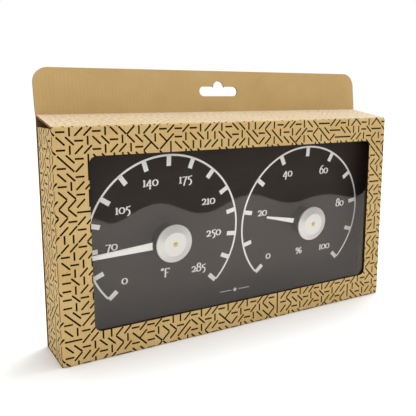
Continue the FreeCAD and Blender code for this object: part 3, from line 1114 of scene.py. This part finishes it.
def scale_print(name, look):
    """Arc, ticks and figures of one dial."""
    ticks = DIALS[name][4]
    sheet = Print()
    steps = 120
    inner, outer = [], []
    for i in range(steps + 1):
        turn = math.radians(ARC_START - ARC_SWEEP * i / steps)
        for row, radius in ((inner, ARC_RADIUS - ARC_WIDTH / 2), (outer, ARC_RADIUS + ARC_WIDTH / 2)):
            row.append((radius * math.cos(turn), radius * math.sin(turn)))
    sheet.strip(inner, outer)
    for i in range(ticks):
        turn = math.radians(ARC_START - ARC_SWEEP * i / (ticks - 1))
        edge = 0.0
        if i == 0:
            edge = -(TICK_WIDTH - ARC_WIDTH) / 2
        if i == ticks - 1:
            edge = (TICK_WIDTH - ARC_WIDTH) / 2
        c, s = math.cos(turn), math.sin(turn)
        near, far = ARC_RADIUS + ARC_WIDTH / 2 - TICK_LENGTH, ARC_RADIUS
        rows = []
        for aside in (-TICK_WIDTH / 2 - edge, TICK_WIDTH / 2 - edge):
            rows.append([(r * c - aside * s, r * s + aside * c) for r in (near, far)])
        sheet.strip(rows[0], rows[1])
    texts, sign = LABELS[name]
    for i, text in enumerate(texts):
        at_end = i in (0, len(texts) - 1)
        x, y = label_place(text, ARC_START - ARC_SWEEP * i / (len(texts) - 1), at_end)
        sheet.label(text, x, y)
    sheet.label(sign, 0.0, -LABEL_FOOT)
    space = dial_space(name) @ Matrix.Translation((0, PRINT_RISE * mm, 0))
    return sheet.build(name + "_scale_print", space, look)


def ornament(look):
    """A fine rule with a small diamond, between the dials."""
    sheet = Print()
    inner, outer, thin = ORNAMENT_RULE
    for side in (-1, 1):
        rows = [[(side * inner, half), (side * outer, half)] for half in (-thin, thin)]
        sheet.strip(rows[0], rows[1])
    half = ORNAMENT_DIAMOND
    sheet.strip([(-half, 0), (0, half)], [(0, -half), (half, 0)])
    left = dial_space("temperature")
    middle = (left.translation + dial_space("humidity").translation) / 2
    space = left.copy()
    space.translation = middle
    space = space @ Matrix.Translation((0, (PRINT_RISE - ORNAMENT_DROP) * mm, 0))
    return sheet.build("plate_ornament", space, look)


# ---- pointers, caps and rivets

def pointer(name, look):
    """Stamped needle with a round boss, tapered blade and counterweight tail; edges eased."""
    length, root, tip, angle = DIALS[name][:4]
    boss = POINTER_BOSS
    tail, tail_root, tail_end = POINTER_TAIL
    outline = [(length, -tip / 2), (length, tip / 2)]
    half_root = math.degrees(math.asin(root / 2 / boss))
    half_tail = math.degrees(math.asin(tail_root / boss))
    outline += arc(0, 0, boss, half_root, 180 - half_tail, 14)
    outline += [(-tail, tail_end), (-tail, -tail_end)]
    outline += arc(0, 0, boss, 180 + half_tail, 360 - half_root, 14)
    hole = arc(0, 0, POINTER_BORE, 360, 0, 32)[:-1]
    space = dial_space(name) @ Matrix.Rotation(math.radians(angle), 4, "Z")

    def place(u, v, depth):
        return space @ Vector((u * mm, v * mm, (POINTER_HEIGHT + POINTER_SHEET) * mm - depth))

    made = slab(name + "_needle_blade", outline, [hole], place, POINTER_SHEET * mm, [look])
    made.data.polygons.foreach_set("material_index", [0] * len(made.data.polygons))
    facing_out(made)
    bevel = made.modifiers.new("eased", "BEVEL")
    bevel.width = POINTER_EASED * mm
    bevel.segments = 2
    bevel.limit_method = "ANGLE"
    bevel.angle_limit = math.radians(50)
    return fit(made, name + "_needle", "white_needle", name + "_pointer")


def cap(name, look):
    """Spun cap: rolled rim, shallow cone and a slightly crowned middle."""
    under = CAP_SHEET
    profile = [(0.9, CAP_CROWN - under), (CAP_CROWN_RADIUS - 0.2, CAP_CROWN - under),
               (CAP_RADIUS - under, CAP_RIM - under), (CAP_RADIUS - under, CAP_LIP + 0.1),
               (CAP_RADIUS - 0.25, CAP_LIP)]
    profile += [(CAP_RADIUS, CAP_LIP + 0.15), (CAP_RADIUS, CAP_RIM - 0.45)]
    profile += arc(CAP_RADIUS - 0.45, CAP_RIM - 0.45, 0.45, 15, 75, 4)
    profile += [(CAP_RADIUS - 0.75, CAP_RIM - 0.02)]
    for share in (0.1, 0.4, 0.7, 0.9):
        radius = CAP_RADIUS - 0.75 + (CAP_CROWN_RADIUS - CAP_RADIUS + 0.75) * share
        profile.append((radius, CAP_RIM + (CAP_CROWN - CAP_RIM) * share))
    profile += [(CAP_CROWN_RADIUS + 0.1, CAP_CROWN - 0.01), (CAP_CROWN_RADIUS - 0.4, CAP_CROWN + 0.04)]
    profile += [(5.0, CAP_CROWN + 0.10), (2.4, CAP_CROWN + 0.12), (0.9, CAP_CROWN + 0.12)]
    made = lathe(name + "_spun_cap", profile, dial_space(name), [look])
    facing_out(made)
    return fit(made, "instrument", "cap", name + "_cap")


def rivet(name, look):
    """Low domed brass head on its shank."""
    ball = (RIVET_RADIUS ** 2 + RIVET_HEAD ** 2) / (2 * RIVET_HEAD)
    foot = CAP_CROWN - 3.0
    profile = [(0.02, foot), (0.45, foot), (0.45, CAP_CROWN), (RIVET_RADIUS - 0.1, CAP_CROWN)]
    for k in range(7):
        radius = RIVET_RADIUS * (1 - k / 6.2)
        height = CAP_CROWN + RIVET_HEAD - ball + math.sqrt(ball * ball - radius * radius)
        profile.append((radius, height + 0.12))
    made = lathe(name + "_rivet_head", profile, dial_space(name), [look], steps=40)
    facing_out(made)
    return fit(made, "instrument", "brass", name + "_cap_rivet")


# ---- stage and light

# metres, watts, degrees
FLOOR_AHEAD = 0.40           # the pale table ends this far in front of the carton
TABLE_SIDE = 12
TABLE_BEHIND = 30
CARD_SIDE = 2.2              # dark card that the film mirrors, beyond the table's edge
CARD_GAP = 0.02
CARD_FOOT = -0.3
CARD_TOP = 1.3
OVERHEAD_PLACE = (0.25, 0.05, 1.1)
OVERHEAD_AIM = (0, 0, 0.05)
OVERHEAD_SIZE = (0.9, 0.7)
OVERHEAD_POWER = 4.0
CEILING_POWER = 1.4
CEILING_SPREAD = 30
CEILING_TILT = (-8, 24)


def make_stage():
    finish = Finish("pale_table", Roughness=0.6, Specular_IOR_Level=0.3)
    grain = finish.noise(finish.object_place(), 6.0, 4.0)
    finish.surface(Base_Color=finish.blend(grain, (0.88, 0.88, 0.88, 1), (0.91, 0.91, 0.91, 1)))
    near = front_low.y - FLOOR_AHEAD
    points = [(-TABLE_SIDE, near, 0), (TABLE_SIDE, near, 0), (TABLE_SIDE, TABLE_BEHIND, 0),
              (-TABLE_SIDE, TABLE_BEHIND, 0)]
    table = object_from("table", points, [(0, 1, 2, 3)], [finish.material])
    dark = Finish("dark_room", Roughness=0.9, Specular_IOR_Level=0.1)
    tone = dark.noise(dark.object_place(), 2.0)
    dark.surface(Base_Color=dark.blend(tone, (0.006, 0.005, 0.005, 1), (0.012, 0.010, 0.010, 1)))
    beyond = near - CARD_GAP
    card_points = [(-CARD_SIDE, beyond, CARD_FOOT), (CARD_SIDE, beyond, CARD_FOOT),
                   (CARD_SIDE, beyond, CARD_TOP), (-CARD_SIDE, beyond, CARD_TOP)]
    card = object_from("dark_side_of_the_room", card_points, [(3, 2, 1, 0)], [dark.material])
    card.visible_camera = False
    card.visible_diffuse = False
    card.visible_shadow = False


def soft_box(name, place, aim, size, power):
    """Rectangular light that no surface mirrors."""
    data = bpy.data.lights.new(name, "AREA")
    data.shape = "RECTANGLE"
    data.size, data.size_y = size
    data.energy = power
    light = bpy.data.objects.new(name, data)
    bpy.context.scene.collection.objects.link(light)
    light.location = place
    light.rotation_mode = "QUATERNION"
    light.rotation_quaternion = (Vector(aim) - Vector(place)).to_track_quat("-Z", "Y")
    light.visible_glossy = False
    light.visible_camera = False


def make_light():
    world = bpy.data.worlds.new("white_room")
    world.use_nodes = True
    background = world.node_tree.nodes["Background"]
    background.inputs[0].default_value = (1, 1, 1, 1)
    background.inputs[1].default_value = 1.0
    bpy.context.scene.world = world
    soft_box("overhead", OVERHEAD_PLACE, OVERHEAD_AIM, OVERHEAD_SIZE, OVERHEAD_POWER)
    glow = bpy.data.lights.new("ceiling", "SUN")
    glow.energy = CEILING_POWER
    glow.angle = math.radians(CEILING_SPREAD)
    ceiling = bpy.data.objects.new("ceiling", glow)
    ceiling.location = (0, 0, 2)
    ceiling.rotation_euler = [math.radians(turn) for turn in CEILING_TILT] + [0]
    ceiling.visible_glossy = False
    bpy.context.scene.collection.objects.link(ceiling)
    bpy.context.scene.view_settings.view_transform = "Standard"
    bpy.context.scene.view_settings.look = "None"


# ---- assembly

def dress_nodes(looks):
    """Gives each CAD node that stays its own finish."""
    wearing = {
        "glue_flap": "kraft",
        "backboard": "wood",
        "dial_plate": "plate",
        "dial_plate_screws": "black_screw",
        "hanger_plate": "steel",
        "hanger_screws": "steel",
    }
    for side in ("left", "right"):
        wearing[side + "_tuck_flap"] = "kraft"
        # dust flaps wear the liner, darkened as painted shade of the carton's inside
        wearing[side + "_dust_flap"] = "liner"
    for name in DIALS:
        wearing[name + "_stud"] = "brass"
        wearing[name + "_stud_washer"] = "steel"
        wearing[name + "_stud_nut"] = "brass"
        wearing[name + "_movement_cup"] = "plastic"
        wearing[name + "_coil"] = name + "_coil"
        wearing[name + "_coil_anchor"] = "plastic"
        wearing[name + "_pointer_hub"] = "brass"
        wearing[name + "_retainer"] = "steel"
    for node, look in wearing.items():
        materials = frame["nodes"][node].data.materials
        materials.clear()
        materials.append(looks[look])


def main():
    make_camera()
    printed = printed_kraft("printed_kraft", 0.1, 0.0, 1.0)
    # the lid's print fades to 0.45 of its ink under full sheen: painted glare where light grazes the lid
    glare_faded_lid_print = printed_kraft("printed_kraft_lid_painted_glare", 0.6, 1.0, 0.45)
    # the liner look: kraft darkened as painted shade on faces turned into the carton
    liner = plain_kraft("painted_shade_liner", True, LINER_PAINTED_SHADE)
    plain = plain_kraft("plain_kraft", True)
    cut = cut_kraft("cut_board", shade(170, 120, 76), shade(66, 32, 17))
    # the window's cut edge, nearly black: painted shade of the cut edge and the gap behind the window
    painted_shade_window_cut = cut_kraft("window_cut_painted_shade", shade(44, 31, 20), shade(20, 14, 10))
    looks = {
        "kraft": plain_kraft("plain_kraft_inside", False),
        "liner": plain_kraft("painted_shade_liner_inside", False, LINER_PAINTED_SHADE),
        "wood": wood_finish(),
        "plate": plate_finish(),
        "plastic": plastic_finish(),
    }
    for look, values in METALS.items():
        looks[look] = metal_finish(*values)
    dress_nodes(looks)
    front_board([printed, plain, painted_shade_window_cut])
    lid_board([glare_faded_lid_print, liner, cut])
    floor_board([printed, liner, cut])
    back_board([printed, liner, cut])
    header_board([plain, printed, cut])
    for side in (-1, 1):
        end_board(side, [printed, liner, cut])
    window_film(film_finish())
    white = print_finish()
    for name in DIALS:
        space = dial_space(name)
        centre = space @ Vector((0, 0, POINTER_HEIGHT * mm))
        crown = space @ Vector((0, 0, CAP_CROWN * mm))
        scale_print(name, white)
        pointer(name, pointer_finish(name + "_needle_paint", centre, DIALS[name][5]))
        cap(name, cap_finish(name + "_cap_metal", crown))
        rivet(name, looks["rivet"])
    ornament(white)
    make_stage()
    make_light()


main()
